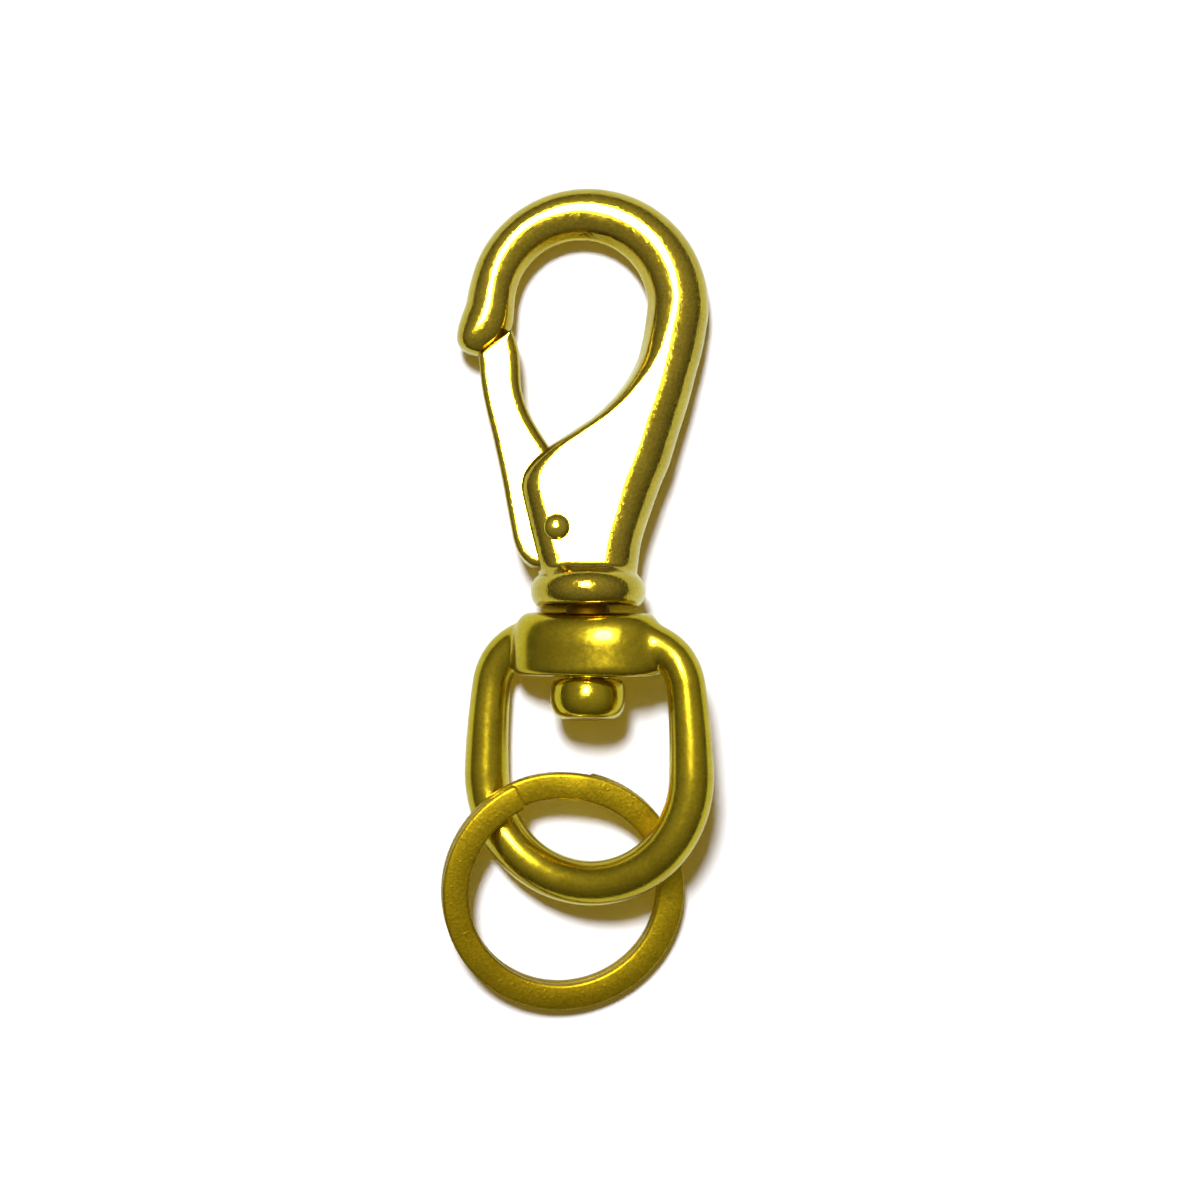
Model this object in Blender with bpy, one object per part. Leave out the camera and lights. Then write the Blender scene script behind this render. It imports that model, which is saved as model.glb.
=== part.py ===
"""Brass swivel snap hook with a flat split key ring, lying at rest on a table.

The hook, with its gate, rivet and spring, has a frame of its own: X to the right,
Y along the swivel towards the crown of the hook, Z out of the flat cheek, and the
origin on the swivel axis in the middle of the collar. The eye has a frame in the
middle of its bore, and the split ring has one at its centre. Each frame is leant
as the piece really lies, worked out from the sizes: the hook rests on its bow and its
collar, one leg of the eye rests on the table, and the ring leans on that leg.
"""

import math

import bmesh
import bpy
from mathutils import Matrix, Vector

MM = 0.001

# Hook: the bow, the body with its two cheeks, and the flat under the nose, which is
# placed from the bow's centre
BOW_OUTER_RADIUS = 17.3 * MM
BOW_INNER_RADIUS = 9.5 * MM
BOW_INNER_SHIFT = 1.0 * MM
BOW_INNER_LIFT = 0.3 * MM
BOW_RISE = 40.6 * MM
BODY_THICKNESS = 9.5 * MM
NOSE_SEAT_LENGTH = 9.0 * MM
NOSE_SEAT_DEPTH = 3.0 * MM
NOSE_SEAT_LEFT = 13.2 * MM
NOSE_SEAT_DROP = 5.1 * MM
NOSE_SEAT_DEG = 39.0

# Collar of the hook, which carries the swivel stud
COLLAR_RADIUS = 8.15 * MM
COLLAR_NECK_RADIUS = 5.5 * MM
COLLAR_FOOT_RADIUS = 6.7 * MM
COLLAR_TOP = 2.7 * MM
COLLAR_WIDEST_DROP = 0.15 * MM
COLLAR_BOTTOM_DROP = 2.5 * MM

# Slot between the cheeks, up to its end below the bow's centre
SLOT_BACK = 0.8 * MM
SLOT_FLOOR = 2.7 * MM
SLOT_TOP_DROP = 9.6 * MM
SLOT_CORNER_RADIUS = 2.4 * MM

# Gate and its rivet
GATE_THICKNESS = 5.0 * MM
GATE_SIDE_CLEARANCE = 0.15 * MM
GATE_PAST_SEAT = 2.5 * MM
GATE_EDGE_BEVEL = 1.0 * MM
GATE_EDGE_DROP = 0.65 * MM
GATE_TIP_BEVEL = 0.3 * MM
GATE_TIP_CLEARANCE = 0.12 * MM
RIVET_LEFT = 4.4 * MM
RIVET_RISE = 8.5 * MM
RIVET_SHANK_RADIUS = 1.3 * MM
RIVET_HEAD_RADIUS = 1.85 * MM
RIVET_HEAD_HEIGHT = 0.95 * MM
RIVET_DOME_DEG = 75.0
RIVET_CLEARANCE = 0.06 * MM

# Torsion spring round the rivet, in the pocket of the gate
SPRING_WIRE = 0.55 * MM
SPRING_COIL_CLEARANCE = 0.3 * MM
SPRING_TURNS = 2.4
SPRING_TURN_PITCH = 0.85 * MM
SPRING_GATE_LEG = 8.2 * MM
SPRING_GATE_LEG_DEG = 100.0
SPRING_BODY_LEG_DEG = 52.0
POCKET_WIDTH = 2.9 * MM
POCKET_CLEARANCE = 0.12 * MM
POCKET_REACH = 9.4 * MM

# Swivel stud
STUD_RADIUS = 3.1 * MM
STUD_FIT_CLEARANCE = 0.05 * MM
STUD_GRIP = 4.4 * MM
STUD_HEAD_RADIUS = 5.4 * MM
STUD_HEAD_HEIGHT = 5.6 * MM
STUD_HEAD_WIDEST_DROP = 2.4 * MM
STUD_HEAD_TOP_ROUND = 0.8 * MM
STUD_HEAD_FOOT_ROUND = 2.1 * MM

# Swivel eye: the bow of round wire and the boss that turns on the stud
EYE_WIRE_RADIUS = 3.18 * MM
EYE_SHOULDER_WIRE_RADIUS = 2.75 * MM
EYE_BOTTOM_RADIUS = 15.48 * MM
EYE_SIDE_RADIUS = 103.0 * MM
EYE_SIDE_TURN_DEG = 7.0
EYE_SHOULDER_RADIUS = 7.9 * MM
BOSS_HEIGHT = 8.9 * MM
BOSS_HALF_WIDTH = 11.0 * MM
BOSS_HALF_DEPTH = 6.9 * MM
BOSS_TOP_ROUND = 2.4 * MM
BOSS_TOP_ROUND_RISE = 4.4 * MM
BOSS_FOOT_ROUND = 1.2 * MM
BOSS_OVAL_POWER = 0.85
BAR_ABOVE_MIDDLE = 1.0 * MM
BORE_PLAY = 0.6 * MM
EYE_DROOP_DEG = 1.0

# Flat split ring
RING_RADIUS = 17.35 * MM
RING_BAND = 3.7 * MM
RING_WIRE_THICKNESS = 1.5 * MM
RING_WIRE_CHAMFER = 0.25 * MM
RING_TURN_GAP = 0.06 * MM
RING_END_DEG = 114.0
RING_RAMP_DEG = 77.0
RING_LEFT_OF_EYE = 3.6 * MM
RING_BELOW_EYE = 1.3 * MM
RING_LEAN_FACING_DEG = 127.0

# Between pieces that touch, and past a face that is cut through
TOUCH_GAP = 0.05 * MM
OVERRUN = 2.0 * MM

# Facets
QUARTER_STEPS = 4
GATE_BEVEL_STEPS = 3
EYE_BOTTOM_STEPS = 12
EYE_SIDE_STEPS = 3
EYE_SHOULDER_STEPS = 8
REST_STEPS = 4
STATION_STEPS = 2
ROUND_STEPS = 32
PIN_STEPS = 24
WIRE_STEPS = 16
RING_STEP_DEG = 6.0
HALVINGS = 60

# Sections of the body from the collar up to the shank. Each row has the inner edge's
# x and y, the outer edge's x and y, the rounding at the inner and at the outer edge,
# and the depth: x in shares of the bow's outer radius, y in shares of its rise, the
# roundings in shares of the section's width and the depth in shares of the body's. The
# lowest rows flare in depth into the collar.
BODY_SECTION_SHARES = (
    (-0.405, 0.015, 0.405, 0.015, 0.22, 0.31, 1.28),
    (-0.405, 0.050, 0.405, 0.050, 0.22, 0.31, 1.20),
    (-0.414, 0.067, 0.406, 0.067, 0.235, 0.31, 1.07),
    (-0.430, 0.082, 0.410, 0.081, 0.25, 0.31, 1.0),
    (-0.450, 0.103, 0.417, 0.104, 0.245, 0.31, 1.0),
    (-0.491, 0.170, 0.445, 0.175, 0.23, 0.29, 1.0),
    (-0.549, 0.271, 0.526, 0.281, 0.205, 0.26, 1.0),
    (-0.585, 0.360, 0.601, 0.369, 0.17, 0.25, 1.0),
    (-0.533, 0.426, 0.670, 0.439, 0.165, 0.25, 1.0),
    (-0.385, 0.488, 0.734, 0.529, 0.17, 0.26, 1.0),
    (-0.173, 0.547, 0.780, 0.592, 0.19, 0.31, 1.0),
    (0.052, 0.613, 0.832, 0.663, 0.22, 0.37, 1.0),
    (0.245, 0.697, 0.884, 0.747, 0.28, 0.44, 0.99),
    (0.387, 0.793, 0.936, 0.828, 0.38, 0.48, 0.96),
    (0.450, 0.884, 0.971, 0.902, 0.47, 0.48, 0.92),
)
# Sections of the nose, in shares of the bow's outer radius from the bow's centre.
NOSE_SECTION_SHARES = (
    (-0.612, -0.023, -1.012, 0.035, 0.50, 0.48, 0.70),
    (-0.626, -0.139, -1.052, -0.081, 0.50, 0.48, 0.68),
    (-0.670, -0.249, -1.081, -0.191, 0.50, 0.48, 0.62),
    (-0.746, -0.329, -1.084, -0.278, 0.50, 0.48, 0.53),
    (-0.844, -0.405, -1.052, -0.341, 0.50, 0.48, 0.38),
    (-0.931, -0.405, -1.000, -0.382, 0.50, 0.48, 0.16),
)
BOW_ROUND_SHARES = (0.53, 0.45)
BOW_DEPTH_SHARES = (0.874, 0.62, 0.68)
BOW_END_DEG = 170.0
BOW_SECTIONS = 12

# Outline of the gate from its rivet, in shares of its length: down the outer edge,
# round the hidden heel and up the inner edge. The tip is worked out from the seat.
GATE_OUTLINE_SHARES = (
    (-0.379, 0.837),
    (-0.358, 0.658),
    (-0.306, 0.438),
    (-0.264, 0.244),
    (-0.233, 0.075),
    (-0.202, -0.072),
    (-0.164, -0.142),
    (-0.111, -0.180),
    (-0.040, -0.173),
    (0.039, -0.140),
    (0.093, -0.086),
    (0.126, -0.011),
    (0.108, 0.101),
    (0.061, 0.220),
    (0.000, 0.342),
    (-0.051, 0.424),
    (-0.092, 0.488),
    (-0.132, 0.560),
    (-0.159, 0.631),
    (-0.176, 0.705),
    (-0.180, 0.800),
    (-0.187, 0.874),
    (-0.200, 0.926),
)
GATE_TIP_SHARES = (-0.224, -0.365)

# What follows from the sizes
BODY_HALF = BODY_THICKNESS / 2
NOSE_SEAT_RISE = BOW_RISE - NOSE_SEAT_DROP
SLOT_TOP = BOW_RISE - SLOT_TOP_DROP
GATE_LENGTH = NOSE_SEAT_RISE - RIVET_RISE + GATE_PAST_SEAT
GATE_HALF = GATE_THICKNESS / 2
SLOT_HALF = GATE_HALF + GATE_SIDE_CLEARANCE
BORE_RADIUS = STUD_RADIUS + BORE_PLAY
SPRING_RADIUS = RIVET_SHANK_RADIUS + SPRING_COIL_CLEARANCE + SPRING_WIRE / 2
POCKET_RADIUS = SPRING_RADIUS + SPRING_WIRE / 2 + POCKET_CLEARANCE
RING_PITCH = RING_WIRE_THICKNESS + RING_TURN_GAP
RING_HALF_THICKNESS = (RING_PITCH + RING_WIRE_THICKNESS) / 2
RING_MID_RADIUS = RING_RADIUS - RING_BAND / 2


def clear_scene():
    for old in list(bpy.data.objects):
        bpy.data.objects.remove(old, do_unlink=True)


def brass(name, colour, roughness):
    material = bpy.data.materials.new(name)
    material.use_nodes = True
    shader = material.node_tree.nodes["Principled BSDF"]
    shader.inputs["Base Color"].default_value = (*colour, 1.0)
    shader.inputs["Metallic"].default_value = 1.0
    shader.inputs["Roughness"].default_value = roughness
    material.diffuse_color = (*colour, 1.0)
    return material


def frame_at(name, parent, matrix):
    """An empty that carries pieces, placed by a matrix in its parent's frame."""
    empty = bpy.data.objects.new(name, None)
    bpy.context.scene.collection.objects.link(empty)
    empty.empty_display_size = COLLAR_RADIUS
    empty.parent = parent
    empty.matrix_local = matrix
    return empty


def solid(name, bm, parent, material=None, place=None, sharp_deg=35.0):
    """The mesh in bm as a named object in the frame of its parent."""
    bmesh.ops.recalc_face_normals(bm, faces=bm.faces)
    mesh = bpy.data.meshes.new(name)
    bm.to_mesh(mesh)
    bm.free()
    mesh.shade_smooth()
    mesh.set_sharp_from_angle(angle=math.radians(sharp_deg))
    made = bpy.data.objects.new(name, mesh)
    bpy.context.scene.collection.objects.link(made)
    made.parent = parent
    if place is not None:
        made.matrix_local = place
    if material is not None:
        mesh.materials.append(material)
    return made


def helper(name, bm, parent, place=None):
    """A solid that only joins or cuts another."""
    made = solid(name, bm, parent, place=place)
    made.hide_render = True
    made.display_type = "WIRE"
    return made


def combine(target, other, operation):
    step = target.modifiers.new(f"{operation.lower()} {other.name}", "BOOLEAN")
    step.operation = operation
    step.solver = "EXACT"
    step.object = other


def skin(bm, rings, closed=False):
    """Faces between rings of points, with a cap on each end of an open row."""
    rows = [[bm.verts.new(point) for point in ring] for ring in rings]
    pairs = list(zip(rows, rows[1:]))
    if closed:
        pairs.append((rows[-1], rows[0]))
    for first, second in pairs:
        for i in range(len(first)):
            j = (i + 1) % len(first)
            bm.faces.new((first[i], first[j], second[j], second[i]))
    if not closed:
        bm.faces.new(list(reversed(rows[0])))
        bm.faces.new(rows[-1])


def turned(profile, steps):
    """A solid turned round the Y axis from (radius, y) points, capped at both ends."""
    bm = bmesh.new()
    rings = []
    for radius, y in profile:
        ring = []
        for i in range(steps):
            angle = math.tau * i / steps
            ring.append((radius * math.sin(angle), y, radius * math.cos(angle)))
        rings.append(ring)
    skin(bm, rings)
    return bm


def prism(outline, half_depth):
    """An outline in the XY plane, given depth both ways along Z."""
    bm = bmesh.new()
    low = [(x, y, -half_depth) for x, y in outline]
    high = [(x, y, half_depth) for x, y in outline]
    skin(bm, [low, high])
    return bm


def arc_points(centre, radii, start_deg, end_deg, steps):
    """Points of an ellipse's arc, both ends included."""
    points = []
    for i in range(steps + 1):
        angle = math.radians(start_deg + (end_deg - start_deg) * i / steps)
        points.append(
            (
                centre[0] + radii[0] * math.cos(angle),
                centre[1] + radii[1] * math.sin(angle),
            )
        )
    return points


def smoothed(rows, steps):
    """A row of values carried through the given rows by a Catmull-Rom curve."""
    found = []
    for i in range(len(rows) - 1):
        before = rows[max(i - 1, 0)]
        after = rows[min(i + 2, len(rows) - 1)]
        for k in range(steps):
            t = k / steps
            found.append(
                tuple(
                    b
                    + t * (c - a) / 2
                    + t**2 * (2 * a - 5 * b + 4 * c - d) / 2
                    + t**3 * (3 * (b - c) + d - a) / 2
                    for a, b, c, d in zip(before, rows[i], rows[i + 1], after)
                )
            )
    found.append(rows[-1])
    return found


def hook_sections():
    """Rows of (inner x, y, outer x, y, inner round, outer round, half depth)."""
    rows = []
    for ix, iy, ox, oy, inner, outer, depth in BODY_SECTION_SHARES:
        rows.append(
            (
                ix * BOW_OUTER_RADIUS,
                iy * BOW_RISE,
                ox * BOW_OUTER_RADIUS,
                oy * BOW_RISE,
                inner,
                outer,
                depth * BODY_HALF,
            )
        )
    start, middle, end = BOW_DEPTH_SHARES
    for i in range(BOW_SECTIONS + 1):
        turn = i / BOW_SECTIONS
        angle = math.radians(BOW_END_DEG * turn)
        if turn < 0.5:
            depth = start + (middle - start) * 2 * turn
        else:
            depth = middle + (end - middle) * (2 * turn - 1)
        rows.append(
            (
                BOW_INNER_RADIUS * math.cos(angle) - BOW_INNER_SHIFT,
                BOW_INNER_RADIUS * math.sin(angle) + BOW_RISE + BOW_INNER_LIFT,
                BOW_OUTER_RADIUS * math.cos(angle),
                BOW_OUTER_RADIUS * math.sin(angle) + BOW_RISE,
                *BOW_ROUND_SHARES,
                depth * BODY_HALF,
            )
        )
    for ix, iy, ox, oy, inner, outer, depth in NOSE_SECTION_SHARES:
        rows.append(
            (
                ix * BOW_OUTER_RADIUS,
                iy * BOW_OUTER_RADIUS + BOW_RISE,
                ox * BOW_OUTER_RADIUS,
                oy * BOW_OUTER_RADIUS + BOW_RISE,
                inner,
                outer,
                depth * BODY_HALF,
            )
        )
    return smoothed(rows, STATION_STEPS)


def section_ring(ix, iy, ox, oy, inner, outer, half):
    """A flat section with rounded edges, from the inner edge over the top and back."""
    start = Vector((ix, iy, 0))
    across = Vector((ox, oy, 0)) - start
    quarter = [math.pi / 2 * k / QUARTER_STEPS for k in range(QUARTER_STEPS + 1)]
    over = [(inner * (1 - math.cos(a)), half * math.sin(a)) for a in quarter]
    over += [(1 - outer * (1 - math.cos(a)), half * math.sin(a)) for a in quarter[::-1]]
    under = [(u, -z) for u, z in over[-2:0:-1]]
    return [start + across * u + Vector((0, 0, z)) for u, z in over + under]


def collar_profile():
    """(radius, y) of a bead, from its top between the cheeks down to the flat foot."""
    shoulder = arc_points(
        (COLLAR_NECK_RADIUS, -COLLAR_WIDEST_DROP),
        (COLLAR_RADIUS - COLLAR_NECK_RADIUS, COLLAR_TOP + COLLAR_WIDEST_DROP),
        90,
        0,
        QUARTER_STEPS,
    )
    foot = arc_points(
        (COLLAR_FOOT_RADIUS, -COLLAR_WIDEST_DROP),
        (COLLAR_RADIUS - COLLAR_FOOT_RADIUS, COLLAR_BOTTOM_DROP - COLLAR_WIDEST_DROP),
        0,
        -90,
        QUARTER_STEPS,
    )
    return shoulder + foot[1:]


def stud_bore_top():
    return STUD_GRIP - COLLAR_BOTTOM_DROP + STUD_FIT_CLEARANCE


def rivet_centre():
    return Vector((-RIVET_LEFT, RIVET_RISE, 0))


def seat_frame():
    """The flat under the nose: X along it, and Y towards the hook."""
    turn = Matrix.Rotation(math.radians(NOSE_SEAT_DEG), 4, "Z")
    return Matrix.Translation((-NOSE_SEAT_LEFT, NOSE_SEAT_RISE, 0)) @ turn


def slot_outline():
    """Open at the left and at the top, with a round corner at its floor."""
    reach = BOW_OUTER_RADIUS
    corner = arc_points(
        (SLOT_BACK - SLOT_CORNER_RADIUS, SLOT_FLOOR + SLOT_CORNER_RADIUS),
        (SLOT_CORNER_RADIUS, SLOT_CORNER_RADIUS),
        -90,
        0,
        QUARTER_STEPS,
    )
    return [(-reach, SLOT_FLOOR)] + corner + [(SLOT_BACK, SLOT_TOP), (-reach, SLOT_TOP)]


def pin_cutter(name, parent, radius, half_length, place):
    """A round cutter along the Y axis of its place."""
    bm = turned([(radius, half_length), (radius, -half_length)], PIN_STEPS)
    return helper(name, bm, parent, place)


def make_hook_body(parent, material):
    bm = bmesh.new()
    skin(bm, [section_ring(*row) for row in hook_sections()])
    body = solid("hook_body", bm, parent, material)
    collar = helper("collar_form", turned(collar_profile(), ROUND_STEPS), parent)
    combine(body, collar, "UNION")
    slot = helper("slot_cut", prism(slot_outline(), SLOT_HALF), parent)
    combine(body, slot, "DIFFERENCE")
    along_z = Matrix.Translation(rivet_centre()) @ Matrix.Rotation(math.pi / 2, 4, "X")
    hole = pin_cutter(
        "rivet_hole_cut",
        parent,
        RIVET_SHANK_RADIUS + RIVET_CLEARANCE,
        BODY_HALF + OVERRUN,
        along_z,
    )
    combine(body, hole, "DIFFERENCE")
    bottom = -COLLAR_BOTTOM_DROP - OVERRUN
    radius = STUD_RADIUS + STUD_FIT_CLEARANCE
    profile = [(radius, stud_bore_top()), (radius, bottom)]
    combine(body, helper("stud_bore_cut", turned(profile, ROUND_STEPS), parent), "DIFFERENCE")
    half_seat = NOSE_SEAT_LENGTH / 2
    flat = [
        (-half_seat, 0),
        (half_seat, 0),
        (half_seat, -NOSE_SEAT_DEPTH),
        (-half_seat, -NOSE_SEAT_DEPTH),
    ]
    seat = helper("nose_seat_cut", prism(flat, BODY_HALF + OVERRUN), parent, seat_frame())
    combine(body, seat, "DIFFERENCE")
    return body


def gate_outline():
    """The gate's outline from its rivet, with the tip laid under the nose's flat."""
    shares = smoothed(GATE_OUTLINE_SHARES, STATION_STEPS)
    points = [(x * GATE_LENGTH, y * GATE_LENGTH) for x, y in shares]
    to_seat = seat_frame().inverted()
    centre = rivet_centre()
    for share in GATE_TIP_SHARES:
        x = share * GATE_LENGTH
        at_seat = to_seat @ (centre + Vector((x, 0, 0)))
        rise = (-GATE_TIP_CLEARANCE - at_seat.y) / math.cos(math.radians(NOSE_SEAT_DEG))
        points.append((x, rise))
    return points


def drawn_in(outline, amounts):
    """A counter-clockwise outline with each corner moved in by its own amount."""
    found = []
    for i, amount in enumerate(amounts):
        here = Vector(outline[i])
        coming = (here - Vector(outline[i - 1])).normalized()
        going = (Vector(outline[(i + 1) % len(outline)]) - here).normalized()
        outward = Vector((coming.y + going.y, -coming.x - going.x))
        found.append(here - outward * amount / (1 + coming.dot(going)))
    return found


def gate_form():
    """The gate's outline in its thickness, with a rounded edge that thins at the tip."""
    outline = gate_outline()
    tips = len(GATE_TIP_SHARES)
    bevels = [GATE_EDGE_BEVEL] * (len(outline) - tips) + [GATE_TIP_BEVEL] * tips
    upper = []
    for k in range(GATE_BEVEL_STEPS + 1):
        angle = math.pi / 2 * k / GATE_BEVEL_STEPS
        level = GATE_HALF - GATE_EDGE_DROP * (1 - math.sin(angle))
        ring = drawn_in(outline, [bevel * (1 - math.cos(angle)) for bevel in bevels])
        upper.append([(x, y, level) for x, y in ring])
    lower = [[(x, y, -z) for x, y, z in ring] for ring in upper[::-1]]
    bm = bmesh.new()
    skin(bm, lower + upper)
    return bm


def make_gate(parent, material):
    gate = solid("gate", gate_form(), parent, material)
    side = GATE_LENGTH
    lean = math.tan(math.radians(SPRING_GATE_LEG_DEG - 90))
    around = arc_points((0, 0), (POCKET_RADIUS, POCKET_RADIUS), -90, -180, QUARTER_STEPS)
    pocket = [(side, -POCKET_RADIUS)] + around
    pocket += [
        (-POCKET_RADIUS - lean * POCKET_REACH, POCKET_REACH),
        (side, POCKET_REACH),
    ]
    combine(gate, helper("pocket_cut", prism(pocket, POCKET_WIDTH / 2), parent), "DIFFERENCE")
    upright = Matrix.Rotation(math.pi / 2, 4, "X")
    radius = RIVET_SHANK_RADIUS + RIVET_CLEARANCE + TOUCH_GAP
    hole = pin_cutter("gate_hole_cut", parent, radius, BODY_HALF, upright)
    combine(gate, hole, "DIFFERENCE")
    return gate


def make_rivet(parent, material):
    """A round shank through both cheeks and the gate, with a domed head on each face."""
    face = BODY_HALF + TOUCH_GAP
    dome = arc_points(
        (0, face), (RIVET_HEAD_RADIUS, RIVET_HEAD_HEIGHT), RIVET_DOME_DEG, 0, QUARTER_STEPS
    )
    upper = dome + [(RIVET_SHANK_RADIUS, face)]
    lower = [(radius, -y) for radius, y in upper[::-1]]
    upright = Matrix.Rotation(math.pi / 2, 4, "X")
    return solid("gate_rivet", turned(upper + lower, PIN_STEPS), parent, material, upright)


def spring_route():
    """The spring's centre line: a leg in the gate, the coil, and a leg on the slot's back."""
    half = SPRING_TURNS * SPRING_TURN_PITCH / 2
    gate_side = math.radians(SPRING_GATE_LEG_DEG)
    body_side = math.radians(SPRING_BODY_LEG_DEG)
    start = gate_side + math.pi / 2
    end = body_side - math.pi / 2 + math.tau * math.ceil(SPRING_TURNS)
    count = math.ceil(PIN_STEPS * (end - start) / math.tau)
    coil = []
    for i in range(count + 1):
        angle = start + (end - start) * i / count
        height = half * (1 - 2 * i / count)
        coil.append(
            Vector((SPRING_RADIUS * math.cos(angle), SPRING_RADIUS * math.sin(angle), height))
        )
    along_gate = Vector((math.cos(gate_side), math.sin(gate_side), 0))
    along_body = Vector((math.cos(body_side), math.sin(body_side), 0))
    back = SLOT_BACK + RIVET_LEFT - SPRING_WIRE / 2 - TOUCH_GAP
    run = (back - coil[-1].x) / along_body.x
    return [coil[0] + along_gate * SPRING_GATE_LEG] + coil + [coil[-1] + along_body * run]


def make_spring(parent, material):
    curve = bpy.data.curves.new("gate_spring", "CURVE")
    curve.dimensions = "3D"
    curve.bevel_depth = SPRING_WIRE / 2
    curve.bevel_resolution = 2
    curve.use_fill_caps = True
    route = spring_route()
    spline = curve.splines.new("POLY")
    spline.points.add(len(route) - 1)
    for point, place in zip(spline.points, route):
        point.co = (*place, 1.0)
    curve.materials.append(material)
    spring = bpy.data.objects.new("gate_spring", curve)
    bpy.context.scene.collection.objects.link(spring)
    spring.parent = parent
    return spring


def boss_middle_drop(cock):
    """From the collar's middle down to the boss's middle, where the boss just clears the foot."""
    lift = COLLAR_FOOT_RADIUS * math.tan(cock) + TOUCH_GAP
    return COLLAR_BOTTOM_DROP + lift + BOSS_HEIGHT / 2


def make_stud(parent, material, cock):
    head_top = -boss_middle_drop(cock) - BOSS_HEIGHT / 2
    head_top -= STUD_HEAD_RADIUS * math.tan(cock) + TOUCH_GAP
    head_foot = head_top - STUD_HEAD_HEIGHT
    grip_top = STUD_GRIP - COLLAR_BOTTOM_DROP
    profile = [(STUD_RADIUS, grip_top), (STUD_RADIUS, head_top)]
    widest = head_top - STUD_HEAD_WIDEST_DROP
    profile += arc_points(
        (STUD_HEAD_RADIUS - STUD_HEAD_TOP_ROUND, widest),
        (STUD_HEAD_TOP_ROUND, STUD_HEAD_WIDEST_DROP),
        90,
        0,
        QUARTER_STEPS,
    )
    lower = arc_points(
        (STUD_HEAD_RADIUS - STUD_HEAD_FOOT_ROUND, widest),
        (STUD_HEAD_FOOT_ROUND, widest - head_foot),
        0,
        -90,
        QUARTER_STEPS,
    )
    profile += lower[1:]
    return solid("swivel_stud", turned(profile, ROUND_STEPS), parent, material)


def eye_route(steps=1):
    """Half of the eye's centre line, from its lowest point up the right side to the bar.

    Each point is (x, y, heading), with y measured from the middle of the boss.
    """
    shoulder_turn = 90 - EYE_SIDE_TURN_DEG
    arcs = (
        (EYE_BOTTOM_RADIUS, 90, EYE_BOTTOM_STEPS * steps),
        (EYE_SIDE_RADIUS, EYE_SIDE_TURN_DEG, EYE_SIDE_STEPS * steps),
        (EYE_SHOULDER_RADIUS, shoulder_turn, EYE_SHOULDER_STEPS * steps),
    )
    x, y, heading = 0.0, 0.0, 0.0
    route = [(x, y, heading)]
    for radius, turn, count in arcs:
        step = math.radians(turn) / count
        for _ in range(count):
            x += radius * (math.sin(heading + step) - math.sin(heading))
            y += radius * (math.cos(heading) - math.cos(heading + step))
            heading += step
            route.append((x, y, heading))
    top = route[-1][1]
    return [(x, y - top + BAR_ABOVE_MIDDLE, heading) for x, y, heading in route]


def eye_wire_radius(heading):
    """The wire is full round the bottom and draws in from there to the shoulders."""
    turned_past = abs(heading) - math.pi / 2
    drawn_in = min(max(turned_past / math.radians(EYE_SIDE_TURN_DEG), 0), 1)
    return EYE_WIRE_RADIUS + (EYE_SHOULDER_WIRE_RADIUS - EYE_WIRE_RADIUS) * drawn_in


def make_eye(parent, material):
    right = eye_route()
    left = [(-x, y, -heading) for x, y, heading in right[:0:-1]]
    rings = []
    for x, y, heading in left + right:
        radius = eye_wire_radius(heading)
        out = Vector((math.sin(heading), -math.cos(heading), 0))
        ring = []
        for i in range(WIRE_STEPS):
            angle = math.tau * i / WIRE_STEPS
            radial = out * math.cos(angle) + Vector((0, 0, math.sin(angle)))
            ring.append(Vector((x, y, 0)) + radial * radius)
        rings.append(ring)
    bm = bmesh.new()
    skin(bm, rings)
    eye = solid("swivel_eye", bm, parent, material)
    combine(eye, helper("boss_form", boss_form(), parent), "UNION")
    bore = pin_cutter("eye_bore_cut", parent, BORE_RADIUS, BOSS_HEIGHT, Matrix.Identity(4))
    combine(eye, bore, "DIFFERENCE")
    return eye


def oval_share(value):
    """A sine or cosine, pushed outwards so that the oval has full corners."""
    return math.copysign(abs(value) ** BOSS_OVAL_POWER, value)


def boss_form():
    """A barrel of oval section along Y, drawn in with a round edge at both ends."""
    top = arc_points((0, 0), (BOSS_TOP_ROUND, BOSS_TOP_ROUND_RISE), 90, 0, QUARTER_STEPS)
    foot = arc_points((0, 0), (BOSS_FOOT_ROUND, BOSS_FOOT_ROUND), 0, -90, QUARTER_STEPS)
    half = BOSS_HEIGHT / 2
    rows = [(BOSS_TOP_ROUND - x, half - BOSS_TOP_ROUND_RISE + y) for x, y in top]
    rows += [(BOSS_FOOT_ROUND - x, BOSS_FOOT_ROUND - half + y) for x, y in foot]
    rings = []
    for drawn_in, y in rows:
        ring = []
        for i in range(ROUND_STEPS):
            angle = math.tau * i / ROUND_STEPS
            side, front = math.sin(angle), math.cos(angle)
            ring.append(
                (
                    oval_share(side) * (BOSS_HALF_WIDTH - drawn_in),
                    y,
                    oval_share(front) * (BOSS_HALF_DEPTH - drawn_in),
                )
            )
        rings.append(ring)
    bm = bmesh.new()
    skin(bm, rings)
    return bm


def ring_section(angle, level):
    """The flat wire's section, with its corners taken off."""
    out = Vector((math.cos(angle), math.sin(angle), 0))
    wide, high = RING_BAND / 2, RING_WIRE_THICKNESS / 2
    cut = RING_WIRE_CHAMFER
    corners = (
        (wide, high - cut),
        (wide - cut, high),
        (cut - wide, high),
        (-wide, high - cut),
        (-wide, cut - high),
        (cut - wide, -high),
        (wide - cut, -high),
        (wide, cut - high),
    )
    up = Vector((0, 0, 1))
    return [out * (RING_MID_RADIUS + across) + up * (level + rise) for across, rise in corners]


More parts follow.
